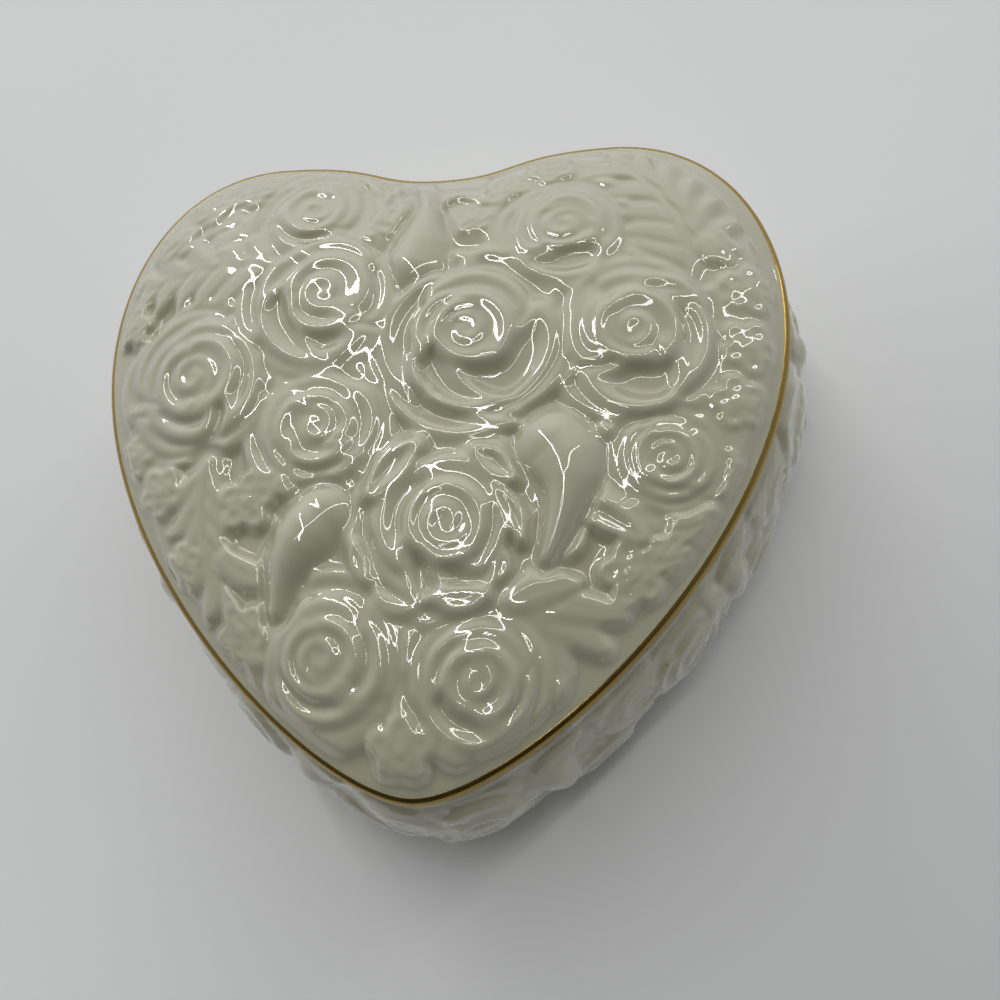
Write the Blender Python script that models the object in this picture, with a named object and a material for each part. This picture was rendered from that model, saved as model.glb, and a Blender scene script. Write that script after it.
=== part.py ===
"""A heart-shaped porcelain trinket box: a footed cup, a domed lid that lifts off, and the fired gold band
on the lid's edge. Metres, +Z up, the heart's notch towards +Y and its tip towards -Y. The origin is under
the middle of the plan, where the box stands."""

import bpy
import numpy as np

MM = 0.001

# The heart's outline is the upper inner edge of the gold band, given on the +X half as three Bezier
# spans: notch to lobe top, lobe top to widest point, widest point to tip.
HALF_WIDTH = 56.4 * MM
HALF_LENGTH = 54.25 * MM
NOTCH_Y = 49.7 * MM
LOBE_X = 29.5 * MM
WIDEST_Y = 20.4 * MM
NOTCH_PULL = 13.2 * MM
LOBE_PULL_IN = 17.8 * MM
LOBE_PULL_OUT = 17.2 * MM
SIDE_PULL_UP = 18.6 * MM
SIDE_PULL_DOWN = 37.5 * MM
TIP_PULL = 15.0 * MM
STEPS_AROUND = 80
DOME_CENTRE_Y = 4.0 * MM

# Heights above the table.
FOOT_RECESS = 1.5 * MM
FLOOR_TOP = 5.2 * MM
CUP_TOP = 36.0 * MM
SEAT_GAP = 0.3 * MM
LID_SEAT = CUP_TOP + SEAT_GAP

# The lid, measured up from its seat. Widths are measured outwards from the heart's outline.
LID_EDGE = 3.4 * MM
LID_OVERHANG = 1.2 * MM
DOME_RISE = 7.4 * MM
LID_THICKNESS = 3.4 * MM
FLANGE_DEPTH = 4.0 * MM
FLANGE_WIDTH = 2.4 * MM
CUP_MOUTH = -3.6 * MM
FLANGE_CLEARANCE = 0.8 * MM

# The gold band wraps the lid's rounded edge in a shallow rebate.
BAND_THICKNESS = 0.35 * MM
BAND_GAP = 0.3 * MM

# The cup's outer wall, as (height, distance outside the heart's outline).
CUP_WALL = [
    (0.0, -1.2), (1.2, -0.4), (3.0, -0.2), (4.4, 0.8), (7.5, 2.6), (11.5, 3.9), (16.0, 4.6),
    (20.5, 4.6), (25.0, 4.0), (29.0, 2.9), (32.4, 1.3), (33.4, 0.9), (35.5, 0.9), (36.0, 0.4),
]
# The cup's inner wall from the mouth down to the floor.
CUP_INSIDE = [
    (36.0, -3.0), (35.5, -3.6), (31.0, -3.6), (26.5, -1.9), (19.0, -0.9), (12.0, -1.6), (7.6, -3.6),
    (5.6, -6.2),
]
FOOT_INNER = [(1.5, -6.2), (0.4, -5.2), (0.0, -4.8)]

# The bold masses of the relief, as (x, y, radius, height) over the lid.
LID_MOUNDS = [
    (-20.7, 40.5, 9.0, 1.6), (-16.7, 23.7, 12.0, 2.4), (-38.0, 10.0, 12.0, 2.2), (-16.0, 0.0, 9.0, 2.0),
    (22.0, 35.0, 10.0, 2.0), (7.2, 14.8, 13.0, 2.6), (32.8, 14.7, 12.0, 2.4), (37.7, -5.7, 8.5, 2.0),
    (5.2, -16.0, 12.0, 2.6), (10.0, -38.5, 10.0, 2.2), (-13.0, -35.5, 10.5, 2.2), (-3.0, 35.0, 8.0, 2.0),
    (21.5, -8.0, 8.0, 2.4), (-15.0, -17.5, 8.0, 2.4),
]
# Blooms around the cup's wall stand in two staggered rows.
BLOOMS_PER_ROW = 12
BLOOM_ROWS = [(23.5, 0.0), (12.0, 0.5)]
BLOOM_RADIUS = 9.0 * MM
BLOOM_HEIGHT = 1.0 * MM


def clear_scene():
    for item in list(bpy.data.objects):
        bpy.data.objects.remove(item)


def bezier(start, pull_out, pull_in, end, count):
    """Points from start up to, but not including, end."""
    t = np.linspace(0, 1, count, endpoint=False)[:, None]
    s = 1 - t
    return s**3 * start + 3 * s**2 * t * pull_out + 3 * s * t**2 * pull_in + t**3 * end


def heart_half(count=400):
    notch = np.array([0, NOTCH_Y])
    lobe = np.array([LOBE_X, HALF_LENGTH])
    side = np.array([HALF_WIDTH, WIDEST_Y])
    tip = np.array([0, -HALF_LENGTH])
    return np.vstack([
        bezier(notch, notch + [NOTCH_PULL, 0], lobe - [LOBE_PULL_IN, 0], lobe, count),
        bezier(lobe, lobe + [LOBE_PULL_OUT, 0], side + [0, SIDE_PULL_UP], side, count),
        bezier(side, side - [0, SIDE_PULL_DOWN], tip + [TIP_PULL, 0], tip, count),
        tip[None],
    ])


def heart_outline():
    """Evenly spaced points around the heart, anticlockwise from the tip, and the outward normal at each."""
    half = heart_half()
    step = np.linalg.norm(np.diff(half, axis=0), axis=1)
    length = np.concatenate([[0], np.cumsum(step)])
    places = np.linspace(length[-1], 0, STEPS_AROUND // 2 + 1)
    right = np.column_stack([np.interp(places, length, half[:, axis]) for axis in (0, 1)])
    points = np.vstack([right, right[-2:0:-1] * [-1, 1]])
    along = np.roll(points, -1, axis=0) - np.roll(points, 1, axis=0)
    normals = np.column_stack([along[:, 1], -along[:, 0]])
    return points, normals / np.linalg.norm(normals, axis=1)[:, None]


OUTLINE, NORMALS = heart_outline()


def ring(height, out):
    """The heart's outline pushed outwards by a distance, or by one distance a point, at a height."""
    flat = OUTLINE + NORMALS * np.broadcast_to(out, len(OUTLINE))[:, None]
    return np.column_stack([flat, np.full(len(flat), height)])


def shrunk(loop, share, height):
    """A ring drawn in towards the dome's centre, at a height or a height for each point."""
    centre = np.array([0, DOME_CENTRE_Y])
    flat = centre + (loop[:, :2] - centre) * share
    return np.column_stack([flat, np.broadcast_to(height, len(flat))])


def mound(distance, radius, height):
    """A round-topped swelling that meets its ground smoothly at its radius."""
    inside = np.clip(1 - (distance / radius) ** 2, 0, 1)
    return height * inside**1.5


def lid_relief(points):
    total = np.zeros(len(points))
    for x, y, radius, height in LID_MOUNDS:
        distance = np.hypot(points[:, 0] - x * MM, points[:, 1] - y * MM)
        total = np.maximum(total, mound(distance, radius * MM, height * MM))
    return total


def wall_relief(height):
    """How far the blooms stand out of the cup's wall at one height, all the way round."""
    turn = np.arange(STEPS_AROUND) / STEPS_AROUND
    girth = np.linalg.norm(np.roll(OUTLINE, -1, axis=0) - OUTLINE, axis=1).sum()
    total = np.zeros(STEPS_AROUND)
    for row_height, stagger in BLOOM_ROWS:
        phase = (turn * BLOOMS_PER_ROW + stagger + 0.5) % 1 - 0.5
        sideways = phase * girth / BLOOMS_PER_ROW
        distance = np.hypot(sideways, height - row_height * MM)
        total = np.maximum(total, mound(distance, BLOOM_RADIUS, BLOOM_HEIGHT))
    return total


def loft(name, rings, closed_on_itself=False):
    """Skins one ring after another. An open run of rings gets a point in the middle of each end."""
    count = len(rings[0])
    points = [tuple(point) for loop in rings for point in loop]
    faces = []
    last = len(rings) if closed_on_itself else len(rings) - 1
    for row in range(last):
        low = row * count
        high = (row + 1) % len(rings) * count
        for a in range(count):
            b = (a + 1) % count
            faces.append((low + a, low + b, high + b, high + a))
    if not closed_on_itself:
        for loop, start, turned in ((rings[0], 0, True), (rings[-1], (len(rings) - 1) * count, False)):
            middle = len(points)
            points.append((0, DOME_CENTRE_Y, loop[:, 2].mean()))
            for a in range(count):
                b = (a + 1) % count
                pair = (start + b, start + a) if turned else (start + a, start + b)
                faces.append((*pair, middle))
    mesh = bpy.data.meshes.new(name)
    mesh.from_pydata(points, [], faces)
    mesh.shade_smooth()
    mesh.set_sharp_from_angle(angle=0.7)
    return bpy.data.objects.new(name, mesh)


def base():
    """The cup: foot recess, foot ring, swelling wall with its blooms, plain lip, inside wall and floor."""
    rings = [shrunk(ring(0, -6.2 * MM), 0.45, FOOT_RECESS)]
    rings += [ring(height * MM, out * MM) for height, out in FOOT_INNER]
    for height, out in CUP_WALL:
        rings.append(ring(height * MM, out * MM + wall_relief(height * MM)))
    rings += [ring(height * MM, out * MM) for height, out in CUP_INSIDE]
    floor_edge = rings[-1]
    rings.append(shrunk(floor_edge, 0.93, FLOOR_TOP))
    rings.append(shrunk(floor_edge, 0.45, FLOOR_TOP))
    return loft("base", rings)


def dome_height(share):
    """Height of the lid's smooth outside above its edge, by the share of the way out from its centre."""
    return LID_EDGE + DOME_RISE * (1 - share**3)


def edge_profile(inset):
    """The lid's rounded edge from its underside to the dome, as (height, out), drawn in by an inset."""
    reach = LID_OVERHANG
    corners = [
        (0.45 * MM, reach - 0.25 * MM),
        (0.9 * MM, reach),
        (2.0 * MM, reach),
        (2.7 * MM, reach - 0.25 * MM),
        (3.15 * MM, reach - 0.65 * MM),
        (LID_EDGE, 0.0),
    ]
    leaning = [0.0, 0.0, 0.0, 0.4, 0.75, 0.95]
    return [
        (height - inset * lean, out - inset * (1 - lean)) for (height, out), lean in zip(corners, leaning)
    ]


def lid():
    """The lid: hollow underside, locating flange, seat, edge rebated for the gold, and relief dome."""
    flange_out = CUP_MOUTH - FLANGE_CLEARANCE
    flange_in = flange_out - FLANGE_WIDTH
    hollow_edge = ring(0, flange_in)
    rings = []
    for share in (0.2, 0.45, 0.65, 0.8, 0.92):
        rings.append(shrunk(hollow_edge, share, dome_height(share * 0.87) - LID_THICKNESS))
    rings.append(ring(dome_height(0.87) - LID_THICKNESS - 1.0 * MM, flange_in))
    rings.append(ring(-FLANGE_DEPTH + 0.5 * MM, flange_in))
    rings.append(ring(-FLANGE_DEPTH, flange_in + 0.6 * MM))
    rings.append(ring(-FLANGE_DEPTH, flange_out - 0.6 * MM))
    rings.append(ring(-FLANGE_DEPTH + 0.5 * MM, flange_out))
    rings.append(ring(0, flange_out))
    rings.append(ring(0, LID_OVERHANG - 0.9 * MM))
    rebate = edge_profile(BAND_GAP + BAND_THICKNESS)
    rings += [ring(height, out) for height, out in rebate]
    rings.append(ring(dome_height(0.97) - 0.02 * MM, -1.2 * MM))
    for share in (0.93, 0.86, 0.78, 0.69, 0.6, 0.5, 0.4, 0.28, 0.14):
        flat = shrunk(ring(0, 0), share, 0)
        border = np.clip((0.955 - share) / 0.08, 0, 1)
        rings.append(shrunk(ring(0, 0), share, dome_height(share) + border * lid_relief(flat)))
    return loft("lid", rings)


def gold_band():
    """The fired gold line around the lid's edge, a thin closed hoop that clears the rebate."""
    outer = [ring(height, out) for height, out in edge_profile(0)]
    inner = [ring(height, out) for height, out in edge_profile(BAND_THICKNESS)]
    return loft("gold_band", outer + inner[::-1], closed_on_itself=True)


def material(name, colour, roughness, metallic):
    made = bpy.data.materials.new(name)
    made.use_nodes = True
    shader = made.node_tree.nodes["Principled BSDF"]
    shader.inputs["Base Color"].default_value = (*colour, 1)
    shader.inputs["Roughness"].default_value = roughness
    shader.inputs["Metallic"].default_value = metallic
    return made


def main():
    clear_scene()
    parts = bpy.data.collections.new("porcelain_trinket_box")
    bpy.context.scene.collection.children.link(parts)
    ivory = material("ivory_glaze", (0.63, 0.60, 0.49), 0.08, 0.0)
    lid_ivory = material("lid_ivory_glaze", (0.64, 0.61, 0.50), 0.08, 0.0)
    gold = material("fired_gold", (0.72, 0.50, 0.17), 0.18, 1.0)
    cup, cover, band = base(), lid(), gold_band()
    for item, look in ((cup, ivory), (cover, lid_ivory), (band, gold)):
        item.data.materials.append(look)
        parts.objects.link(item)
    cover.location.z = LID_SEAT
    band.parent = cover


main()
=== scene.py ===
"""The looks of a heart-shaped porcelain trinket box: glazed rose relief, fired gold edge, floor and light.

Lengths in the design are millimetres, measured in the plan with the heart's notch towards +Y, and are
turned into metres when a mesh is made."""

import math

import bpy
import numpy as np
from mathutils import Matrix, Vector


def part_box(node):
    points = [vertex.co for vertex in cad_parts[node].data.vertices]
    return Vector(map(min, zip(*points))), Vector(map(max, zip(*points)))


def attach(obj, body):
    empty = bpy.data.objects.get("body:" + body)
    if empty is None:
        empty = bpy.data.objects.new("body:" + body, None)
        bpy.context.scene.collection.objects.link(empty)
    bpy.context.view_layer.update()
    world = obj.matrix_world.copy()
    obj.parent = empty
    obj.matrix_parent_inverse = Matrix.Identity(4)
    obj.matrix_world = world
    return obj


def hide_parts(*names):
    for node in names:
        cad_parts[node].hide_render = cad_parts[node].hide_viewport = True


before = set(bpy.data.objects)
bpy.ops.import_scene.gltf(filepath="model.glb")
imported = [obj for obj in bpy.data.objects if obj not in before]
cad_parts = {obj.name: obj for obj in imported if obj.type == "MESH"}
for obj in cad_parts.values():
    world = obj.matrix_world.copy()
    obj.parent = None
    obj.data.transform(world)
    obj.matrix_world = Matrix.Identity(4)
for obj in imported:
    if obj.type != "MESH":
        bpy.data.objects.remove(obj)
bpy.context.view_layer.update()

MM = 0.001
TURN = 2 * math.pi


def millimetres(corner):
    return np.array(corner) / MM


BASE_HIGH = millimetres(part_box("base")[1])
LID_LOW = millimetres(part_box("lid")[0])
BAND_LOW, BAND_HIGH = (millimetres(corner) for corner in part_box("gold_band"))

# The heart's outline is the upper inner edge of the gold: half of it as three Bezier spans.
OVERHANG = 1.2
HALF_WIDTH = (BAND_HIGH[0] - BAND_LOW[0]) / 2 - OVERHANG
HALF_LENGTH = (BAND_HIGH[1] - BAND_LOW[1]) / 2 - OVERHANG
NOTCH_Y = 49.7
LOBE_X = 29.5
WIDEST_Y = 20.4
NOTCH_PULL = 13.2
LOBE_PULL_IN = 17.8
LOBE_PULL_OUT = 17.2
SIDE_PULL_UP = 18.6
SIDE_PULL_DOWN = 37.5
TIP_PULL = 15.0
CENTRE = np.array([0.0, 4.0])

# Heights above the table, the lid's own heights above its seat, and thicknesses.
CUP_TOP = BASE_HIGH[2]
CUP_FLOOR = 5.2
FOOT_RECESS = 1.5
FLANGE_DEPTH = 4.0
SEAT = LID_LOW[2] + FLANGE_DEPTH
LID_EDGE = BAND_HIGH[2] - SEAT
DOME_RISE = 7.4
LID_THICKNESS = 3.4
# Distances outside the outline, so those inside it are negative.
CUP_MOUTH = -3.6
FLANGE_OUT = CUP_MOUTH - 0.8
FLANGE_IN = FLANGE_OUT - 2.4
WALL_MIDDLE = 3.5
# The lid's rounded edge is an arc from its widest part to the dome, OVERHANG across and this high.
EDGE_WIDEST = 1.8
EDGE_RISE = 1.5
# The gold over that edge: its height above the glaze, its thickness, and the angle and height it spans.
GOLD_PROUD = 0.12
GOLD_THICKNESS = 0.2
GOLD_TOP_ANGLE = 84
GOLD_BOTTOM = 0.85

# Mesh fineness: points along one side of the lid's grid, around and up the cup's wall, and round the gold.
LID_GRID = 270
AROUND = 860
WALL_ROWS = 84
BAND_STEPS = 900

# Passes of smoothing: over the relief, and those that leave only its broad swells.
LID_PASSES = 6
WALL_PASSES = 4
BROAD_PASSES = 40
# Share of the way out where the lid's relief begins to fade, and where it has gone.
FADE_FROM = 0.95
FADE_TO = 0.99

# Colours, linear.
IVORY = (0.53, 0.525, 0.41)
# Painted shade: the darker, warmer tint laid over the ivory in the relief's hollows.
HOLLOW_SHADE_TINT = (0.86, 0.84, 0.76)
CLOUDED_GLAZE = (0.95, 0.95, 0.9)
KILN_SPECK = (0.22, 0.19, 0.14)
GOLD = (0.38, 0.26, 0.07)
WORN_GOLD = (0.28, 0.19, 0.07)
TABLE_TONES = ((0.82, 0.84, 0.855), (0.84, 0.86, 0.875))
SKY = (0.98, 0.985, 1.0, 1)
WARM_WHITE = (1.0, 0.98, 0.94)
COOL_WHITE = (0.98, 0.99, 1.0)

# The stage, in metres and watts.
FLOOR_HALF = 8.0
# Where the shadow painted into the table's colour is darkest.
PAINTED_SHADOW_SPOT = (0.12, -0.13, 0)
ROOM_STRENGTH = 0.73
LAMP_AIM = (0.0, 0.0, 0.04)
STRIP_WIDTH = 0.06
STRIP_LENGTH = 1.9
CAMERA_ABOVE_LID = 0.1449
CAMERA_TURN = (19.29, 8.16, 1.47)


# ---------------------------------------------------------------- outline

def bezier(start, pull_out, pull_in, end, count):
    t = np.linspace(0, 1, count, endpoint=False)[:, None]
    s = 1 - t
    return s**3 * start + 3 * s**2 * t * pull_out + 3 * s * t**2 * pull_in + t**3 * end


def heart(count=600):
    """Dense points round the heart, anticlockwise from the tip, with outward normals."""
    notch = np.array([0, NOTCH_Y])
    lobe = np.array([LOBE_X, HALF_LENGTH])
    side = np.array([HALF_WIDTH, WIDEST_Y])
    tip = np.array([0, -HALF_LENGTH])
    half = np.vstack([
        bezier(notch, notch + [NOTCH_PULL, 0], lobe - [LOBE_PULL_IN, 0], lobe, count),
        bezier(lobe, lobe + [LOBE_PULL_OUT, 0], side + [0, SIDE_PULL_UP], side, count),
        bezier(side, side - [0, SIDE_PULL_DOWN], tip + [TIP_PULL, 0], tip, count),
        tip[None],
    ])[::-1]
    points = np.vstack([half, half[-2:0:-1] * [-1, 1]])
    along = np.roll(points, -1, axis=0) - np.roll(points, 1, axis=0)
    normals = np.column_stack([along[:, 1], -along[:, 0]])
    return points, normals / np.linalg.norm(normals, axis=1)[:, None]


HEART, HEART_NORMALS = heart()


def heart_by_length(count, out=0.0):
    """Outline points and normals, evenly spaced along the outline pushed out a distance, and its girth."""
    path = HEART + HEART_NORMALS * out
    step = np.linalg.norm(np.roll(path, -1, axis=0) - path, axis=1)
    length = np.concatenate([[0], np.cumsum(step)])
    places = np.arange(count) / count * length[-1]
    rows = [np.append(column, column[0]) for column in np.hstack([HEART, HEART_NORMALS]).T]
    found = np.column_stack([np.interp(places, length, row) for row in rows])
    return found[:, :2], found[:, 2:], length[-1]


def heart_by_angle(angle):
    """Outline points and normals in given directions from the centre, in radians anticlockwise from -Y."""
    arm = HEART - CENTRE
    turn = np.unwrap(np.arctan2(arm[:, 0], -arm[:, 1]))
    turn = np.append(turn, turn[0] + TURN)
    wanted = np.mod(angle - turn[0], TURN) + turn[0]
    rows = [np.append(column, column[0]) for column in np.hstack([HEART, HEART_NORMALS]).T]
    found = np.column_stack([np.interp(wanted, turn, row) for row in rows])
    return found[:, :2], found[:, 2:]


# ---------------------------------------------------------------- relief

def ease(low, high, value):
    t = np.clip((value - low) / (high - low), 0, 1)
    return t * t * (3 - 2 * t)


def bell(value, width):
    return np.exp(-(value / width) ** 2)


class Sheet:
    """Heights over a flat sheet of points. Each motif is laid over what is already there."""

    def __init__(self, x, y, girth=None):
        self.x, self.y, self.girth = x, y, girth
        self.z = np.zeros(len(x))

    def around(self, x, y, reach):
        dx, dy = self.x - x, self.y - y
        if self.girth:
            dx = np.mod(dx + self.girth / 2, self.girth) - self.girth / 2
        pick = np.flatnonzero(dx * dx + dy * dy < reach * reach)
        return pick, dx[pick], dy[pick]

    def lay(self, pick, mask, height):
        self.z[pick] += (height - self.z[pick]) * mask

    def along(self, knots, reach):
        """Points near a curve through three knots: share of the way along, distance aside (positive to the
        left), distance from the curve with its ends, and the curve's length."""
        start, bend, end = (np.array(knot, float) for knot in knots)
        pull = 2 * bend - (start + end) / 2
        t = np.linspace(0, 1, 21)[:, None]
        line = (1 - t) ** 2 * start + 2 * t * (1 - t) * pull + t**2 * end - bend
        span = np.linalg.norm(line, axis=1).max()
        pick, dx, dy = self.around(*bend, span + reach)
        share, aside, away = np.zeros(len(pick)), np.zeros(len(pick)), np.full(len(pick), np.inf)
        steps = np.diff(line, axis=0)
        lengths = np.linalg.norm(steps, axis=1)
        for k, (place, step, length) in enumerate(zip(line, steps, lengths)):
            px, py = dx - place[0], dy - place[1]
            part = np.clip((px * step[0] + py * step[1]) / length**2, 0, 1)
            gap = np.hypot(px - part * step[0], py - part * step[1])
            left = (py * step[0] - px * step[1]) / length
            nearer = gap < away
            share[nearer] = ((k + part) / len(steps))[nearer]
            aside[nearer] = (np.sign(left) * gap)[nearer]
            away[nearer] = gap[nearer]
        return pick, share, aside, away, lengths.sum()


def nearer_of(first, second, blend):
    """The smaller of two distances, with the corner between them rounded."""
    return -blend * np.logaddexp(-first / blend, -second / blend)


def petal(sheet, x, y, bearings, rims, level, fall, lean=0.0, lip=1.3, skew=0.0):
    """One rose petal, seen from above, between two bearings (degrees) from the heart of the rose. Its rim
    passes evenly through the given distances out, and its ends run aslant by skew radians a millimetre. It
    stands steeply over what is outside, is rounded along its rim and ends, and falls away inside."""
    first, last = np.radians(bearings)
    half = (last - first) / 2
    curve = np.polyfit(np.linspace(-1, 1, len(rims)), rims, len(rims) - 1)
    pick, dx, dy = sheet.around(x, y, max(rims) + 1.5)
    r, a = np.hypot(dx, dy), np.arctan2(dy, dx)
    a = a + skew * (np.mean(rims) - r)
    u = (np.mod(a - first - half + math.pi, TURN) - math.pi) / half
    within = np.clip(u, -1.1, 1.1)
    slope = np.polyval(np.polyder(curve), within) / half / np.maximum(r, 2.0)
    from_rim = (np.polyval(curve, within) - r) / np.sqrt(1 + slope**2)
    from_end = (1 - np.abs(u)) * half * r
    inward = nearer_of(from_rim, from_end, 0.45 * lip)
    crest = 1.2 * lip
    round_over = 0.75 * lip * (1 - np.sqrt(1 - 0.95 * (1 - np.clip(inward / crest, 0, 1)) ** 2))
    hollow = fall * ease(0.8 * crest, 1.5 * crest + fall, inward)
    sheet.lay(pick, ease(-0.4, 0.4, inward), level + lean * within - round_over - hollow)


def heart_of_rose(sheet, x, y, radius, level, twist, hand=1):
    """The rolled innermost petals: rounded turns parted by a soft spiral groove, with a small pit in it."""
    pick, dx, dy = sheet.around(x, y, radius + 1)
    r, a = np.hypot(dx, dy), np.arctan2(dy, dx)
    pitch = radius / 1.35
    phase = r / pitch - hand * (a - math.radians(twist)) / TURN
    groove = (0.25 + 0.25 * np.cos(TURN * phase)) * ease(0.3, 1.2, r)
    rim = radius * (1 + 0.07 * np.sin(2 * (a - math.radians(twist))))
    height = level - groove - 0.55 * bell(r, 0.8) - 0.5 * ease(rim - 1.0, rim, r)
    sheet.lay(pick, ease(-0.45, 0.35, rim - r), height)


def rose(sheet, x, y, plan, size=1.0, turn=0.0, lift=None):
    """A rose from its plan: rings of petals from the outside in, each standing higher, then the heart."""
    lift = lift or 0.88 * plan["lift"]
    rings = plan["rings"]
    radius, twist, hand = plan["heart"]
    for k, ring in enumerate(rings):
        part = k / (len(rings) - 1)
        level = lift * (0.6 + 0.4 * part)
        for j, (bearings, rims) in enumerate(ring):
            facing = math.sin(math.radians(sum(bearings) / 2 + turn))
            fall = lift * (0.34 - 0.22 * facing) * (1 - 0.3 * part)
            petal(sheet, x, y, np.add(bearings, turn), np.multiply(rims, size), level, fall,
                  0.11 * lift * (1 - 0.6 * part) * (-1) ** j, plan["lip"] * size * (1 - 0.2 * part),
                  0.11 * hand / size)
    heart_of_rose(sheet, x, y, radius * size, lift * 0.98, twist + turn, hand)


def skirt(sheet, x, y, radius, turn, level):
    """The lowest, broad petals of a rose, which fill the ground up to its neighbours."""
    for k in range(5):
        middle = turn + 72 * k
        petal(sheet, x, y, (middle - 42, middle + 42), (radius, radius * 1.08, radius), level, 0.5 * level,
              lean=0.3 * level * (-1) ** k, lip=1.5)


def leaf(sheet, knots, width, level):
    """A pointed leaf with a grooved midrib and side veins that sweep forward."""
    veins = 2.4
    crown = 0.6
    pick, t, aside, away, length = sheet.along(knots, width + 1.5)
    half = width * np.sin(math.pi * np.clip(0.06 + 0.94 * t, 0, 1) ** 0.85) ** 0.8
    across = np.clip(away / np.maximum(half, 0.3), 0, 1)
    sweep = (t * length - away) / veins
    ribs = 0.2 * np.cos(TURN * sweep) * ease(0.05, 0.35, across) * (1 - across**3)
    height = level - crown * across**2 + ribs - 0.3 * bell(aside, 0.35)
    sheet.lay(pick, ease(-0.3, 0.5, half - away), height)


def cupped(sheet, knots, width, level, hollow):
    """A leaf or petal with a raised, rounded rim and a hollow middle."""
    pick, t, _, away, _ = sheet.along(knots, width + 1.5)
    half = width * (0.55 + 0.45 * np.sin(math.pi * t))
    inward = half - away
    round_over = 0.5 * (1 - np.clip(inward / 0.9, 0, 1)) ** 2
    height = level - round_over - hollow * ease(0.6, 0.6 + 0.8 * width, inward)
    sheet.lay(pick, ease(-0.35, 0.4, inward), height)


def leaflet(sheet, knots, width, level):
    """A plump leaflet, rounded across and tapering to both ends."""
    pick, t, aside, away, _ = sheet.along(knots, width + 1.5)
    half = width * (0.4 + 0.6 * np.sin(math.pi * (0.12 + 0.88 * t)) ** 0.7)
    across = np.clip(away / np.maximum(half, 0.3), 0, 1)
    height = level * (0.45 + 0.55 * np.sqrt(1 - 0.95 * across**2)) - 0.1 * level * bell(aside, 0.4)
    sheet.lay(pick, ease(-0.35, 0.45, half - away), height)


def frond(sheet, knots, count, reach, width, level, sides=(1, -1), sweep=50):
    """Plump leaflets side by side along a curved midrib, longest near its foot."""
    start, bend, end = (np.array(knot, float) for knot in knots)
    pull = 2 * bend - (start + end) / 2
    for k in range(count):
        t = (k + 0.5) / count
        foot = (1 - t) ** 2 * start + 2 * t * (1 - t) * pull + t**2 * end
        along = (1 - t) * (pull - start) + t * (end - pull)
        lean = math.atan2(along[1], along[0])
        for side in sides:
            angle = lean + side * math.radians(sweep * (1.1 - 0.3 * t))
            out = np.array([math.cos(angle), math.sin(angle)])
            bow = np.array([-out[1], out[0]]) * side * -0.8
            size = reach * (1.1 - 0.4 * t)
            tip = foot + out * size
            leaflet(sheet, (foot, foot + out * size * 0.5 + bow, tip), width * (1.1 - 0.25 * t), level)
    stalk(sheet, knots, 0.9, level * 0.95)


def stalk(sheet, knots, width, level):
    """A rounded midrib, a little thinner towards its end."""
    pick, t, _, away, _ = sheet.along(knots, width + 1)
    half = width * (1.1 - 0.3 * t)
    across = np.clip(away / half, 0, 1)
    sheet.lay(pick, ease(-0.3, 0.4, half - away), level - 0.3 * across**2)


def blossom(sheet, x, y, size, turn, level):
    """A small flower of five petals, each a dimpled round with a raised rim, and a bead in the middle."""
    start = math.radians(turn)
    radius = size * 0.42
    reach = 0.58 * size
    for k in range(5):
        angle = start + TURN * k / 5
        pick, dx, dy = sheet.around(x + reach * math.cos(angle), y + reach * math.sin(angle), size)
        r = np.hypot(dx, dy)
        round_over = 0.4 * ease(0.6, 1.15, r / radius)
        sheet.lay(pick, ease(-0.3, 0.5, radius - r), level - 0.5 * bell(r, radius * 0.5) - round_over)
    pick, dx, dy = sheet.around(x, y, size)
    r = np.hypot(dx, dy)
    sheet.lay(pick, ease(-0.25, 0.35, size * 0.22 - r), level + 0.15 - 0.3 * bell(r, size * 0.09))


def swell(sheet, knots, widths, levels, soft=0.25, valley=0):
    """A rounded body along a curve, its half-widths and heights given at even steps along it. It merges
    softly with what it lies on, and stands in a narrow valley of the given width if there is one."""
    pick, t, _, away, _ = sheet.along(knots, max(widths) + 2)
    half = np.interp(t, np.linspace(0, 1, len(widths)), widths)
    level = np.interp(t, np.linspace(0, 1, len(levels)), levels)
    across = away / half
    height = level * (1 - 0.78 * np.minimum(across, 1) ** 2 - 1.6 * np.maximum(across - 1, 0) * half)
    if valley:
        sheet.lay(pick, ease(valley, 0, away - half), 0.5)
    sheet.z[pick] = -nearer_of(-sheet.z[pick], -height, soft)


def mound(sheet, knots, width, level):
    """A low swelling of the ground, fading out on every side."""
    pick, _, _, away, _ = sheet.along(knots, width)
    sheet.lay(pick, ease(0, 0.7, 1 - away / width), level)


def soften(z, rows, columns, passes, wrap=False):
    """Lets the glaze round every edge a little: each pass averages a point with its neighbours."""
    field = z.reshape(rows, columns)
    for _ in range(passes):
        ends = "wrap" if wrap else "edge"
        wide = np.pad(np.pad(field, ((1, 1), (0, 0)), mode="edge"), ((0, 0), (1, 1)), mode=ends)
        side = wide[:-2, 1:-1] + wide[2:, 1:-1] + wide[1:-1, :-2] + wide[1:-1, 2:]
        field = 0.5 * field + 0.125 * side
    return field.ravel()


# ---------------------------------------------------------------- the lid's flowers

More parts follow.
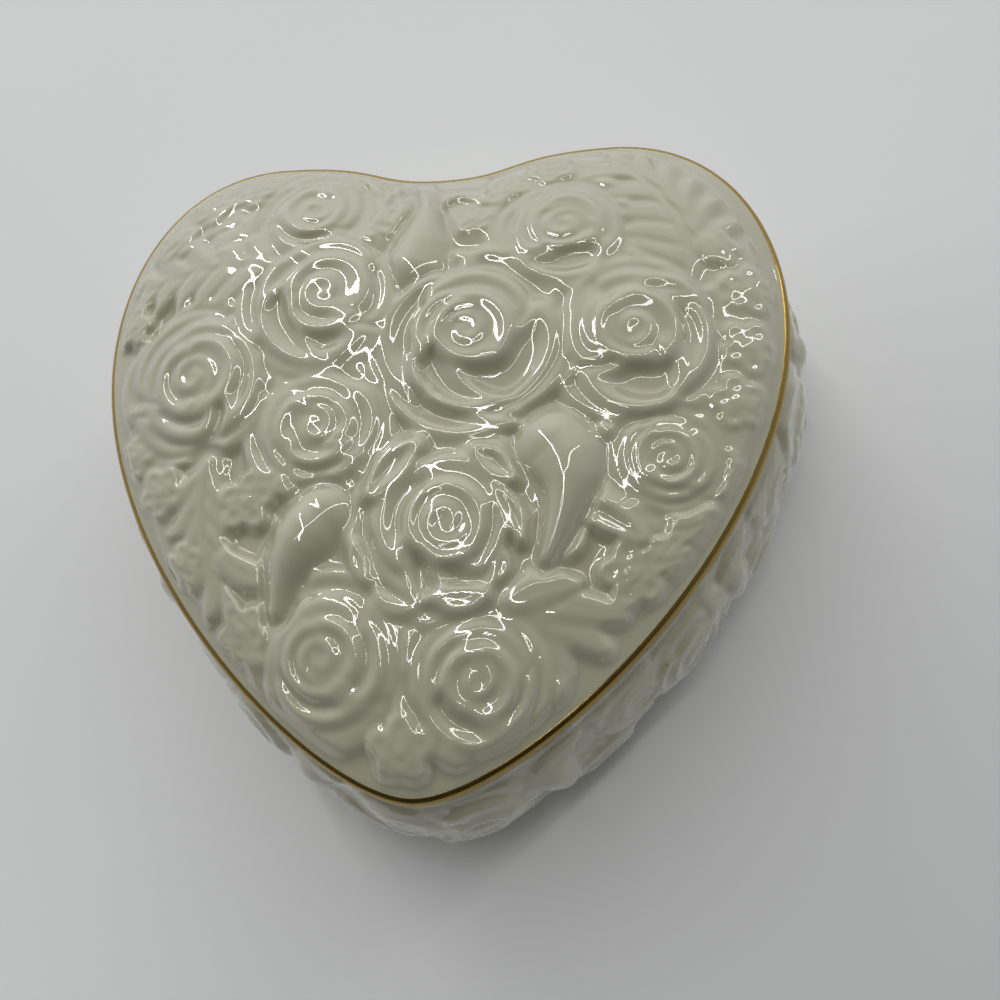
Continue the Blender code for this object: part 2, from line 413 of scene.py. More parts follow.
# Plans of the roses. Each petal has its two bearings, in degrees anticlockwise from +X, and how far out its
# rim lies at even steps between them. The heart has its radius, its twist and its hand.
ROSES = {
    "middle_top": {"lift": 3.7, "lip": 1.55, "heart": (3.6, 250, 1), "rings": [
        [((226, 304), (16.4, 18.4, 17.4)), ((116, 240), (12.4, 14.2, 14.8, 14.2)),
         ((-63, 48), (15.3, 15.0, 14.4, 11.6))],
        [((28, 154), (11.4, 12.0, 11.4, 9.6)), ((216, 304), (9.6, 12.9, 14.2, 14.2))],
        [((106, 222), (8.6, 9.2, 8.6))],
        [((-53, 122), (7.9, 7.7, 7.6, 7.0)), ((98, 309), (6.8, 5.9, 5.9, 5.7, 7.8))],
    ]},
    "right": {"lift": 3.6, "lip": 1.45, "heart": (3.9, 120, -1), "rings": [
        [((20, 156), (13.4, 13.8, 13.2, 11.0))],
        [((200, 304), (10.6, 12.8, 14.0, 13.8)), ((-62, 24), (12.8, 12.8, 12.5, 11.8)),
         ((16, 64), (12.4, 12.6, 11.2)), ((54, 132), (10.8, 11.0, 10.6)), ((118, 214), (10.4, 10.5, 10.7))],
        [((120, 214), (8.2, 8.4, 7.8))],
        [((-60, 118), (7.4, 7.6, 7.3, 6.9)), ((96, 304), (6.8, 6.4, 6.3, 6.0, 7.4))],
    ]},
    "upper_left": {"lift": 3.4, "lip": 1.5, "heart": (4.4, 30, 1), "rings": [
        [((276, 340), (14.2, 15.2, 12.8)), ((-34, 62), (12.4, 11.8, 11.4))],
        [((262, 334), (13.6, 12.9, 10.6)), ((188, 286), (11.4, 13.2, 14.0)),
         ((126, 204), (10.8, 12.0, 11.7)), ((42, 142), (10.6, 11.1, 10.8))],
        [((-42, 212), (8.6, 8.0, 7.4, 7.0, 6.8)), ((202, 332), (6.6, 8.2, 8.5))],
    ]},
    "left": {"lift": 3.3, "lip": 1.5, "heart": (4.2, 300, -1), "rings": [
        [((58, 178), (12.6, 13.4, 12.2)), ((194, 278), (12.2, 13.7, 13.4))],
        [((18, 112), (10.8, 10.8, 10.0)), ((98, 202), (9.6, 9.9, 9.7)), ((186, 292), (9.9, 10.6, 11.6)),
         ((-65, 38), (11.9, 12.6, 11.9, 10.4))],
        [((-94, 104), (7.7, 7.6, 8.2, 7.8, 6.9)), ((92, 275), (6.7, 6.9, 7.0, 7.1, 7.7))],
    ]},
    "middle": {"lift": 3.8, "lip": 1.35, "heart": (4.4, 60, 1), "rings": [
        [((196, 262), (11.8, 12.8, 12.8)), ((282, 332), (12.8, 12.6, 12.0)),
         ((128, 196), (11.6, 12.0, 11.8))],
        [((122, 238), (10.1, 10.9, 10.8, 10.0)), ((40, 136), (9.9, 10.7, 10.0)),
         ((-58, 50), (9.8, 9.5, 9.4, 9.4))],
        [((82, 246), (6.3, 6.5, 6.2)), ((230, 334), (6.1, 6.7, 6.7)), ((-44, 102), (6.5, 6.3, 6.4))],
    ]},
    "bottom_right": {"lift": 3.2, "lip": 1.15, "heart": (3.1, 180, 1), "rings": [
        [((-60, 42), (9.8, 10.7, 10.7)), ((30, 114), (10.8, 10.6, 9.8)), ((112, 208), (9.5, 10.0, 9.6))],
        [((196, 314), (9.1, 9.6, 9.6)), ((-60, 32), (8.4, 8.4, 8.2)), ((16, 124), (8.2, 8.5, 8.0)),
         ((108, 214), (7.8, 7.9, 7.4))],
        [((-105, 110), (5.3, 6.0, 5.8, 5.2)), ((94, 270), (5.0, 5.2, 5.2))],
    ]},
    "bottom_left": {"lift": 3.2, "lip": 1.3, "heart": (3.9, 330, 1), "rings": [
        [((-40, 62), (12.2, 12.1, 11.0)), ((200, 332), (9.9, 12.2, 12.2)), ((118, 206), (9.1, 9.4, 9.8)),
         ((50, 130), (10.6, 10.2, 9.6))],
        [((188, 326), (8.0, 9.5, 10.0)), ((-43, 58), (10.0, 10.0, 9.0)), ((48, 134), (9.0, 9.0, 8.4)),
         ((120, 208), (8.0, 8.1, 8.1))],
        [((-34, 122), (6.5, 6.3, 5.5)), ((96, 334), (5.4, 6.1, 6.2, 6.1, 6.6))],
    ]},
    "small_left": {"lift": 2.8, "lip": 1.25, "heart": (3.6, 200, 1), "rings": [
        [((-34, 52), (11.2, 12.2, 10.8)), ((120, 208), (10.0, 10.2, 9.8))],
        [((-30, 60), (9.4, 10.2, 9.2)), ((46, 138), (9.0, 9.0, 9.0)), ((126, 206), (8.9, 9.0, 8.8)),
         ((196, 270), (8.8, 9.0, 8.8)), ((248, 338), (9.4, 10.0, 9.6))],
        [((48, 152), (5.7, 5.8, 6.1)), ((126, 234), (6.5, 6.7, 6.5)), ((220, 344), (6.3, 7.0, 6.9)),
         ((-28, 60), (6.2, 6.2, 5.7))],
    ]},
    "small_top": {"lift": 2.5, "lip": 1.1, "heart": (3.5, 100, 1), "rings": [
        [((28, 142), (9.8, 10.4, 10.2)), ((130, 208), (10.0, 10.2, 10.6)), ((194, 278), (10.4, 10.4, 9.8)),
         ((-78, 42), (10.4, 10.6, 10.0))],
        [((-42, 94), (7.8, 8.2, 7.6)), ((198, 328), (8.0, 9.0, 8.2)), ((84, 205), (7.4, 7.6, 7.8))],
        [((78, 252), (6.0, 5.9, 6.1)), ((-120, 96), (6.1, 5.6, 6.0))],
    ]},
    "top_right": {"lift": 2.8, "lip": 1.2, "heart": (3.8, 340, -1), "rings": [
        [((128, 214), (10.8, 11.4, 11.0)), ((-64, -6), (11.4, 11.8, 9.8)), ((16, 142), (9.8, 10.0, 10.4))],
        [((206, 310), (10.4, 11.0, 10.8)), ((-52, 58), (9.8, 9.4, 8.8)), ((113, 224), (8.2, 8.4, 8.8)),
         ((44, 130), (8.1, 8.2, 8.2))],
        [((94, 302), (6.2, 5.9, 5.1, 5.1)), ((-24, 122), (6.8, 7.0, 6.4)), ((-72, 6), (5.3, 6.3, 6.8))],
    ]},
    "small_right": {"lift": 2.6, "lip": 0.95, "heart": (2.9, 240, 1), "rings": [
        [((-50, 78), (8.2, 8.7, 8.6)), ((64, 162), (8.4, 8.6, 8.8)), ((150, 238), (9.0, 9.0, 8.6)),
         ((226, 318), (8.4, 8.4, 8.2))],
        [((128, 228), (7.1, 7.3, 7.1)), ((208, 322), (6.8, 6.6, 6.4)), ((48, 142), (6.3, 6.4, 6.5)),
         ((-50, 64), (6.4, 6.9, 6.4))],
        [((108, 252), (5.1, 5.4, 4.7)), ((-64, 122), (4.5, 4.7, 4.7)), ((240, 308), (4.6, 4.6, 4.6))],
    ]},
}

# Where each rose stands on the lid, lowest laid first, and the reach of the low petals round it.
ROSE_PLACES = [
    ("small_top", -20.7, 41.5, 11.5), ("top_right", 22.0, 34.5, 12.5), ("small_right", 37.7, -5.7, 11.5),
    ("small_left", -16.0, 0.0, 11.8), ("left", -38.0, 10.0, 14.2), ("upper_left", -16.7, 23.7, 14.8),
    ("right", 32.8, 14.7, 14.8), ("middle_top", 7.2, 14.8, 16.0), ("bottom_left", -13.0, -35.5, 12.8),
    ("bottom_right", 10.0, -38.7, 12.2), ("middle", 5.2, -16.0, 15.0),
]

# Height of those low petals over the plain dome.
SKIRT_LEVEL = 1.6

# The small blossoms: place, size and turn in degrees, and the height of their petals.
BLOSSOM_LEVEL = 2.0
BLOSSOMS = [
    (50.8, 23.0, 4.7, 80), (50.4, 13.0, 4.9, 62), (48.4, 3.8, 4.7, 30), (46.6, 30.5, 3.6, 10),
    (32.0, -23.0, 5.4, 35), (41.0, -14.6, 4.6, 80), (46.0, -7.4, 4.2, 15), (-26.5, -11.5, 5.2, 15),
    (-26.5, -31.0, 4.8, 50), (-1.0, -48.2, 5.4, 90), (-9.5, 38.5, 4.8, 30), (-10.0, 46.0, 4.0, 0),
    (12.2, 43.5, 4.4, 0), (19.5, 48.2, 4.4, 50),
    (-52.0, 22.0, 4.2, 10), (-42.5, -8.5, 4.6, 55), (-48.5, -2.0, 4.0, 5), (-37.5, -20.5, 3.8, 25),
    (-33.0, 47.6, 4.2, 0), (-40.6, 45.0, 4.4, 70), (-46.4, 38.6, 4.4, 25), (37.5, -20.0, 3.6, 0),
]


def lay_lid_flowers(sheet):
    """Everything raised on the lid, lowest first."""
    for name, x, y, reach in ROSE_PLACES:
        skirt(sheet, x, y, reach, 17 * reach, SKIRT_LEVEL)
    mound(sheet, ((47, 30), (51, 15), (47, 0)), 7.5, 1.3)
    mound(sheet, ((-30, 48), (-40, 45), (-48, 36)), 7.5, 1.4)
    mound(sheet, ((-8, 38), (2, 39), (10, 38)), 8.5, 1.5)
    mound(sheet, ((12, 45), (18, 47), (26, 48)), 5.0, 1.1)
    mound(sheet, ((47, -8), (42, -15), (32, -23)), 6.5, 1.1)
    mound(sheet, ((-48, -2), (-42, -9), (-38, -20)), 5.5, 1.1)
    # Fronds and leaves round the border.
    cupped(sheet, ((-26, 31), (-38, 34), (-50, 33)), 9.0, 0.9, 0.2)
    frond(sheet, ((-25.5, 30.5), (-38, 32.0), (-51, 29.5)), 5, 10.5, 2.4, 1.7, sweep=54)
    frond(sheet, ((-29, 37), (-36.5, 42.5), (-44, 44)), 4, 7.5, 2.1, 1.4, sweep=58)
    cupped(sheet, ((42, 27), (42, 37), (33, 48)), 8.0, 0.8, 0.2)
    frond(sheet, ((42, 27.5), (40.5, 38.5), (30, 50.3)), 6, 9.5, 2.0, 1.6, sides=(-1,), sweep=36)
    frond(sheet, ((42, 25.5), (39.5, 36.5), (30, 49.0)), 5, 9.0, 2.5, 1.5, sides=(1,), sweep=64)
    cupped(sheet, ((-34, -5), (-35, -14), (-31, -26)), 6.0, 0.8, 0.2)
    frond(sheet, ((-34, -4.5), (-34.8, -13.5), (-31, -26.0)), 5, 8.0, 2.2, 1.7, sweep=38)
    leaflet(sheet, ((-29.5, -20.0), (-25.5, -22.8), (-21.5, -23.0)), 2.8, 2.0)
    fan = (((22.5, -37.0), 1.4), ((28.5, -34.0), 1.7), ((30.5, -29.0), 2.0), ((24.0, -24.6), 2.3))
    for tip, level in fan:
        middle = ((tip[0] + 15.0) / 2, (tip[1] - 26.5) / 2)
        leaflet(sheet, ((15.0, -27.5), middle, tip), 3.0, level)
    leaf(sheet, ((24, 22), (22, 25), (18.5, 28.5)), 2.4, 2.0)
    # Small blossoms.
    for x, y, size, turn in BLOSSOMS:
        blossom(sheet, x, y, size, turn, BLOSSOM_LEVEL)
    # The upper bud, with a blossom and a hooked petal beside it.
    blossom(sheet, 6.8, 37.4, 3.4, 20, BLOSSOM_LEVEL)
    swell(sheet, ((-7.5, 45.0), (-5.5, 40.5), (-7.0, 35.0)), (1.6, 2.0, 1.6), (1.6, 1.8, 1.4))
    swell(sheet, ((8.5, 41.0), (2.6, 42.6), (-0.4, 35.5)), (1.4, 1.6, 1.8), (2.2, 2.7, 2.4))
    widths, levels = (1.3, 1.5, 2.0, 3.4, 4.8, 5.4), (1.8, 2.4, 2.7, 2.9, 3.2, 3.2)
    swell(sheet, ((-3.0, 47.0), (-1.2, 39.5), (-2.4, 29.0)), widths, levels, valley=1.4)
    # Roses, smaller and lower ones first, and the two lower buds where they lie under the middle rose.
    for name, x, y, _ in ROSE_PLACES:
        rose(sheet, x, y, ROSES[name])
        if name == "small_right":
            cupped(sheet, ((24.5, -13.4), (28.4, -14.8), (33.0, -17.6)), 2.8, 2.3, 0.6)
            cupped(sheet, ((24.8, -17.2), (24.2, -18.8), (22.6, -20.8)), 1.3, 2.1, 0.5)
            swell(sheet, ((24.2, -11.6), (28.4, -12.8), (32.4, -16.4)), (1.6, 1.7, 1.2), (2.6, 2.5, 2.0))
            widths, levels = (6.0, 6.0, 5.2, 3.6, 2.6, 1.6), (3.5, 3.9, 4.0, 3.7, 3.1, 2.4)
            swell(sheet, ((20.9, -4.0), (22.7, -10.5), (19.6, -21.2)), widths, levels, 0.3, 1.3)
        if name == "bottom_right":
            swell(sheet, ((-19.0, -15.5), (-22.2, -20.5), (-22.4, -27.5)), (2.0, 2.1, 1.5), (2.0, 2.3, 1.9))
            widths, levels = (4.8, 5.0, 4.8, 3.8, 2.6, 1.8), (3.0, 3.9, 4.2, 3.9, 3.1, 2.3)
            swell(sheet, ((-14.4, -13.8), (-18.6, -19.8), (-20.6, -28.4)), widths, levels, 0.3, 1.1)
    # Folded leaves round the middle rose.
    cupped(sheet, ((-6.2, -11.5), (-3.0, -7.0), (0.2, -4.2)), 2.9, 3.2, 1.3)
    cupped(sheet, ((9.6, -5.2), (12.2, -7.0), (14.6, -9.6)), 2.4, 3.2, 1.2)
    cupped(sheet, ((12.2, -11.0), (14.8, -14.5), (16.2, -18.6)), 2.0, 2.9, 1.0)
    cupped(sheet, ((13.8, -20.6), (13.4, -22.8), (12.0, -24.6)), 1.6, 2.4, 0.6)
    cupped(sheet, ((3.6, -27.2), (7.6, -27.4), (11.2, -26.6)), 2.3, 2.8, 0.5)
    cupped(sheet, ((-8.4, -19.0), (-7.8, -21.6), (-6.6, -24.4)), 1.6, 2.5, 0.8)
    cupped(sheet, ((-4.6, -26.4), (-2.4, -28.4), (1.0, -28.6)), 1.5, 2.3, 0.4)


# ---------------------------------------------------------------- meshes

def loop_quads(first, second):
    """Quads between two closed loops of vertex numbers, facing out if the loops run anticlockwise upward."""
    return np.column_stack([first, np.roll(first, -1), np.roll(second, -1), second])


def make_object(name, points, quads, fans=(), attributes=None):
    faces = quads.tolist()
    for loop, middle in fans:
        following = np.roll(loop, -1)
        faces += np.column_stack([loop, following, np.full(len(loop), middle)]).tolist()
    mesh = bpy.data.meshes.new(name)
    mesh.from_pydata((points * MM).tolist(), [], faces)
    for key, values in (attributes or {}).items():
        layer = mesh.attributes.new(key, "FLOAT", "POINT")
        layer.data.foreach_set("value", np.asarray(values, np.float32))
    mesh.shade_smooth()
    mesh.update()
    made = bpy.data.objects.new(name, mesh)
    bpy.context.scene.collection.objects.link(made)
    return made


def ring_at(outline, normals, height, out):
    """A loop round the heart at a height, pushed out from the outline. Both may vary along the loop."""
    flat = outline + normals * np.broadcast_to(out, len(outline))[:, None]
    return np.column_stack([flat, np.broadcast_to(height, len(outline))])


def drawn_in(loop, part, height):
    """A loop shrunk towards the centre to part of its size, at another height."""
    return np.column_stack([CENTRE + (loop[:, :2] - CENTRE) * part, np.full(len(loop), height)])


def dome_height(share):
    """Height of the lid's plain dome, at a share of the way from the centre to the edge."""
    return SEAT + LID_EDGE + DOME_RISE * (1 - share**3)


# The rounded edge in degrees up from its widest part, and the turn under it to the seat, as (height above
# the seat, distance in from the overhang).
EDGE_ANGLES = (72, 58, 44, 30, 15, 0)
UNDER_EDGE = ((0.4, 0.3), (0.1, 0.65), (0, 1.0))
# The flange from the seat down and back up inside, as (height above the seat, distance outside the outline).
FLANGE = [
    (0, FLANGE_OUT + 0.3), (-0.3, FLANGE_OUT), (0.5 - FLANGE_DEPTH, FLANGE_OUT),
    (-FLANGE_DEPTH, FLANGE_OUT - 0.6), (-FLANGE_DEPTH, FLANGE_IN + 0.6),
    (0.5 - FLANGE_DEPTH, FLANGE_IN), (1.2, FLANGE_IN),
]
# Share of the way out at which the flange's inside stands, for the hollow under the dome.
HOLLOW_SHARE = 0.87


def lid():
    """The lid as one closed skin: flowered dome, rounded edge, seat, flange and hollow underside."""
    side = np.linspace(-1, 1, LID_GRID)
    s, t = np.meshgrid(side, side)
    s, t = s.ravel(), t.ravel()
    u, v = s * np.sqrt(1 - t * t / 2), t * np.sqrt(1 - s * s / 2)
    share = np.hypot(u, v)
    rim, _ = heart_by_angle(np.arctan2(u, -v))
    flat = CENTRE + (rim - CENTRE) * share[:, None]
    sheet = Sheet(flat[:, 0], flat[:, 1])
    lay_lid_flowers(sheet)
    border = ease(FADE_TO, FADE_FROM, share)
    relief = soften(sheet.z * border, LID_GRID, LID_GRID, LID_PASSES)
    broad = soften(relief, LID_GRID, LID_GRID, BROAD_PASSES)
    top = np.column_stack([flat, dome_height(share) + relief])
    numbers = np.arange(LID_GRID * LID_GRID).reshape(LID_GRID, LID_GRID)
    corners = (numbers[:-1, :-1], numbers[:-1, 1:], numbers[1:, 1:], numbers[1:, :-1])
    quads = np.column_stack([corner.ravel() for corner in corners])
    edge = np.concatenate([numbers[0, :-1], numbers[:-1, -1], numbers[-1, :0:-1], numbers[:0:-1, 0]])
    around, normals = heart_by_angle(np.arctan2(u[edge], -v[edge]))

    across, rise = OVERHANG - GOLD_PROUD, EDGE_RISE - GOLD_PROUD
    profile = [(EDGE_WIDEST + rise * math.sin(a), across * math.cos(a)) for a in np.radians(EDGE_ANGLES)]
    profile += [(height, OVERHANG - inside) for height, inside in ((0.9, GOLD_PROUD), *UNDER_EDGE)] + FLANGE
    rings = [ring_at(around, normals, SEAT + height, out) for height, out in profile]
    hollow = ring_at(around, normals, SEAT, FLANGE_IN)
    for part in (0.97, 0.9, 0.8, 0.65, 0.45, 0.2):
        rings.append(drawn_in(hollow, part, dome_height(part * HOLLOW_SHARE) - LID_THICKNESS))
    points, loops = [top], [edge]
    count = len(top)
    for row in rings:
        loops.append(np.arange(count, count + len(row)))
        points.append(row)
        count += len(row)
    middle = np.array([[*CENTRE, rings[-1][0, 2]]])
    points = np.vstack([*points, middle])
    skins = [loop_quads(lower, upper) for upper, lower in zip(loops, loops[1:])]
    hollowness = np.concatenate([broad - relief, np.zeros(len(points) - len(top))])
    quads = np.vstack([quads, *skins])
    return make_object("lid_porcelain", points, quads, [(loops[-1][::-1], count)], {"hollow": hollowness})


def smooth_run(corners, count):
    """Evenly spaced points on a smooth curve through a short list of corners."""
    corners = np.array(corners, float)
    padded = np.vstack([2 * corners[0] - corners[1], corners, 2 * corners[-1] - corners[-2]])
    t = np.linspace(0, 1, 40, endpoint=False)[:, None]
    run = []
    for a, b, c, d in zip(padded, padded[1:], padded[2:], padded[3:]):
        bow = 2 * a - 5 * b + 4 * c - d
        twist = 3 * b - a - 3 * c + d
        run.append(0.5 * (2 * b + (c - a) * t + bow * t**2 + twist * t**3))
    run = np.vstack([*run, corners[-1:]])
    length = np.concatenate([[0], np.cumsum(np.linalg.norm(np.diff(run, axis=0), axis=1))])
    places = np.linspace(0, length[-1], count)
    return np.column_stack([np.interp(places, length, run[:, axis]) for axis in (0, 1)]), places


# The cup's profile from under the foot to its inside, as (height, distance outside the outline).
CUP_FOOT = [
    (FOOT_RECESS, -6.4), (1.3, -6.0), (0.35, -5.15), (0, -4.7), (0, -1.5), (0.25, -1.0), (0.8, -0.6),
    (1.8, -0.45), (2.6, -0.4),
]
CUP_WALL = [
    (3.0, -0.2), (4.4, 0.7), (7.5, 2.2), (11.5, 3.4), (16.0, 4.1), (20.5, 4.1), (25.0, 3.5), (29.0, 2.4),
    (32.4, 1.1), (33.6, 0.9),
]
CUP_LIP = [
    (35.2, 0.9), (35.7, 0.75), (CUP_TOP, 0.35), (CUP_TOP, -2.9), (35.75, -3.4), (35.2, CUP_MOUTH),
    (31.0, CUP_MOUTH),
]
CUP_INSIDE = [(31.0, CUP_MOUTH), (26.5, -1.9), (19.0, -0.9), (12.0, -1.6), (7.6, -3.6), (5.5, -6.6)]
INSIDE_ROWS = 14


def lay_wall_flowers(sheet, girth, rise):
    """The garland round the cup: roses in two staggered rows with buds, leaves and blossoms between."""
    units = 9
    step = girth / units
    high, low = rise * 0.66, rise * 0.3
    plans = ("middle", "upper_left", "right", "left")
    for k in range(units):
        s = k * step + 8.0
        skirt(sheet, s, high, 10.5, 50 * k, 0.8)
        skirt(sheet, s + 22.5, low + 2, 10.5, 35 * k, 0.8)
        skirt(sheet, s + 2, low - 2, 8.0, 15 * k, 0.7)
        skirt(sheet, s + 30, high + 4, 8.0, 25 * k, 0.7)
    for k in range(units):
        s = k * step + 8.0
        frond(sheet, ((s + 9, low + 1), (s + 14, low - 3), (s + 21, low - 6)), 4, 5.5, 1.4, 1.1)
        leaf(sheet, ((s + 9, high + 2), (s + 14, high + 6), (s + 20, high + 8)), 3.0, 1.2)
        leaf(sheet, ((s + 32, high - 7), (s + 28, high - 10), (s + 23, high - 11)), 2.8, 1.2)
        blossom(sheet, s + 11, high - 11, 3.8, 40 * k, 1.1)
        blossom(sheet, s + 25, high + 8, 3.6, 25 * k, 1.1)
        bud = ((s + 13, high + 3), (s + 14, high - 3), (s + 16, high - 9))
        swell(sheet, bud, (3.8, 3.6, 2.8, 1.4), (2.2, 2.2, 1.7))
        rose(sheet, s + 2.0, low - 2.0, ROSES["small_left"], 0.72, 50 * k, 1.6)
        rose(sheet, s + 30.5, high + 3.0, ROSES["small_right"], 0.85, 80 * k, 1.6)
        rose(sheet, s + 22.0, low + 2.0, ROSES[plans[(k + 1) % 4]], 0.72, 70 * k, 2.1)
        rose(sheet, s, high, ROSES[plans[k % 4]], 0.78, 90 * k, 2.3)


def cup():
    """The cup as one closed skin: recess, foot ring, flowered wall, plain lip, inside wall and floor."""
    outline, normals, girth = heart_by_length(AROUND, WALL_MIDDLE)
    profile, places = smooth_run(CUP_WALL, WALL_ROWS)
    rise = places[-1]
    slope = np.gradient(profile, axis=0)
    slope /= np.linalg.norm(slope, axis=1)[:, None]
    s, h = np.meshgrid(np.arange(AROUND) / AROUND * girth, places)
    sheet = Sheet(s.ravel(), h.ravel(), girth)
    lay_wall_flowers(sheet, girth, rise)
    fade = ease(0, 2.0, sheet.y) * ease(rise, rise - 2.0, sheet.y)
    relief = soften(sheet.z * fade, WALL_ROWS, AROUND, WALL_PASSES, wrap=True)
    broad = soften(relief, WALL_ROWS, AROUND, BROAD_PASSES, wrap=True)
    grid = relief.reshape(WALL_ROWS, AROUND)
    inside, _ = smooth_run(CUP_INSIDE, INSIDE_ROWS)

    def ring(height, out):
        return ring_at(outline, normals, height, out)

    rings = [drawn_in(ring(0, -6.2), 0.45, FOOT_RECESS)]
    rings += [ring(height, out) for height, out in CUP_FOOT]
    first_wall = len(rings)
    for row in range(WALL_ROWS):
        height = profile[row, 0] - slope[row, 1] * grid[row]
        rings.append(ring(height, profile[row, 1] + slope[row, 0] * grid[row]))
    last_wall = len(rings)
    rings += [ring(height, out) for height, out in (*CUP_LIP, *inside[1:])]
    floor_edge = rings[-1]
    rings += [drawn_in(floor_edge, part, CUP_FLOOR) for part in (0.95, 0.4)]
    total = AROUND * len(rings)
    middles = np.array([[*CENTRE, FOOT_RECESS], [*CENTRE, CUP_FLOOR]])
    points = np.vstack([*rings, middles])
    loops = np.arange(total).reshape(len(rings), AROUND)
    quads = np.vstack([loop_quads(low, high) for low, high in zip(loops, loops[1:])])
    hollowness = np.zeros(len(points))
    hollowness[first_wall * AROUND:last_wall * AROUND] = broad - relief
    fans = [(loops[0][::-1], total), (loops[-1], total + 1)]
    return make_object("base_porcelain", points, quads, fans, {"hollow": hollowness})


def gold_edge():
    """The fired gold: a very thin hoop over the lid's rounded edge, with borders uneven as if hand-laid."""
    outline, normals, _ = heart_by_length(BAND_STEPS)
    turn = np.arange(BAND_STEPS) / BAND_STEPS * TURN
    draw = np.random.default_rng(7)
    waver = [np.zeros(BAND_STEPS), np.zeros(BAND_STEPS)]
    for line in waver:
        for cycles in (5, 9, 14, 23, 37):
            line += draw.uniform(0.3, 1.0) / cycles**0.5 * np.sin(cycles * turn + draw.uniform(0, TURN))
    top = np.radians(GOLD_TOP_ANGLE) + 0.03 * waver[0]
    bottom = GOLD_BOTTOM + 0.05 * waver[1]

    def run(inset):
        """The hoop's skin from its lower border to its upper one. The last two rows are close together, so
        that smooth shading doesn't turn the whole upper border inward."""
        rows = [(bottom, OVERHANG - inset)]
        for part in (*np.linspace(0, 0.99, 11), 1):
            angle = top * part
            height = EDGE_WIDEST + (EDGE_RISE - inset) * np.sin(angle)
            rows.append((height, (OVERHANG - inset) * np.cos(angle)))
        return rows

    rings = []
    for height, out in run(0) + run(GOLD_THICKNESS)[::-1]:
        rings.append(ring_at(outline, normals, SEAT + height, out))
    points = np.vstack(rings)
    loops = np.arange(len(points)).reshape(len(rings), BAND_STEPS)
    quads = np.vstack([loop_quads(low, high) for low, high in zip(loops, np.roll(loops, -1, axis=0))])
    return make_object("gold_edge", points, quads)


# ---------------------------------------------------------------- materials

def shader_of(name):
    made = bpy.data.materials.new(name)
    made.use_nodes = True
    nodes, links = made.node_tree.nodes, made.node_tree.links
    return made, nodes, links, nodes["Principled BSDF"]


def noise(nodes, links, where, scale, detail):
    made = nodes.new("ShaderNodeTexNoise")
    made.inputs["Scale"].default_value = scale
    made.inputs["Detail"].default_value = detail
    links.new(where, made.inputs["Vector"])
    return made.outputs["Fac"]


def ranged(nodes, links, value, low, high, to_low, to_high):
    made = nodes.new("ShaderNodeMapRange")
    links.new(value, made.inputs["Value"])
    for key, number in zip(("From Min", "From Max", "To Min", "To Max"), (low, high, to_low, to_high)):
        made.inputs[key].default_value = number
    return made.outputs["Result"]


def multiplied(nodes, links, first, second):
    made = nodes.new("ShaderNodeMath")
    made.operation = "MULTIPLY"
    for socket, value in zip(made.inputs, (first, second)):
        if isinstance(value, (int, float)):
            socket.default_value = value
        else:
            links.new(value, socket)
    return made.outputs["Value"]


def blended(nodes, links, share, first, second):
    made = nodes.new("ShaderNodeMix")
    made.data_type = "RGBA"
    links.new(share, made.inputs["Factor"])
    for socket, colour in ((made.inputs[6], first), (made.inputs[7], second)):
        if isinstance(colour, tuple):
            socket.default_value = (*colour, 1)
        else:
            links.new(colour, socket)
    return made.outputs[2]


def bumped(nodes, links, shader, height, strength, distance):
    bump = nodes.new("ShaderNodeBump")
    bump.inputs["Strength"].default_value = strength
    bump.inputs["Distance"].default_value = distance
    links.new(height, bump.inputs["Height"])
    links.new(bump.outputs["Normal"], shader.inputs["Normal"])


def toned(tint):
    """The ivory under a tint."""
    return tuple(np.array(IVORY) * tint)


def porcelain(name):
    """Ivory body under a clear gloss glaze, darkened and warmed in the hollows by painted shade, with faint
    cloudy patches and a few small kiln specks.
    """
    made, nodes, links, shader = shader_of(name)
    place = nodes.new("ShaderNodeTexCoord").outputs["Object"]
    hollow = nodes.new("ShaderNodeAttribute")
    hollow.attribute_name = "hollow"
    # Painted shade: the deeper a point lies below the relief's broad swells, the more the ivory turns to the
    # darker, warmer tint.
    painted_hollow_shade = ranged(nodes, links, hollow.outputs["Fac"], -0.9, 1.0, 0, 1)
    body = blended(nodes, links, painted_hollow_shade, IVORY, toned(HOLLOW_SHADE_TINT))
    cloud = ranged(nodes, links, noise(nodes, links, place, 45, 3), 0.35, 0.65, 0, 0.35)
    body = blended(nodes, links, cloud, body, toned(CLOUDED_GLAZE))
    speck = nodes.new("ShaderNodeTexVoronoi")
    speck.inputs["Scale"].default_value = 150
    links.new(place, speck.inputs["Vector"])
    rare = ranged(nodes, links, noise(nodes, links, place, 90, 0), 0.7, 0.72, 0, 1)
    spot = ranged(nodes, links, speck.outputs["Distance"], 0.018, 0.04, 1, 0)
    body = blended(nodes, links, multiplied(nodes, links, rare, spot), body, KILN_SPECK)
    links.new(body, shader.inputs["Base Color"])
    gloss = ranged(nodes, links, noise(nodes, links, place, 120, 2), 0.3, 0.7, 0.035, 0.06)
    links.new(gloss, shader.inputs["Roughness"])
    shader.inputs["IOR"].default_value = 1.52
    shader.inputs["Coat Weight"].default_value = 1.0
    shader.inputs["Coat Roughness"].default_value = 0.02
    shader.inputs["Subsurface Weight"].default_value = 0.3
    shader.inputs["Subsurface Radius"].default_value = (1.0, 0.8, 0.5)
    shader.inputs["Subsurface Scale"].default_value = 0.002
    bumped(nodes, links, shader, noise(nodes, links, place, 260, 2), 0.06, 0.0003)
    return made


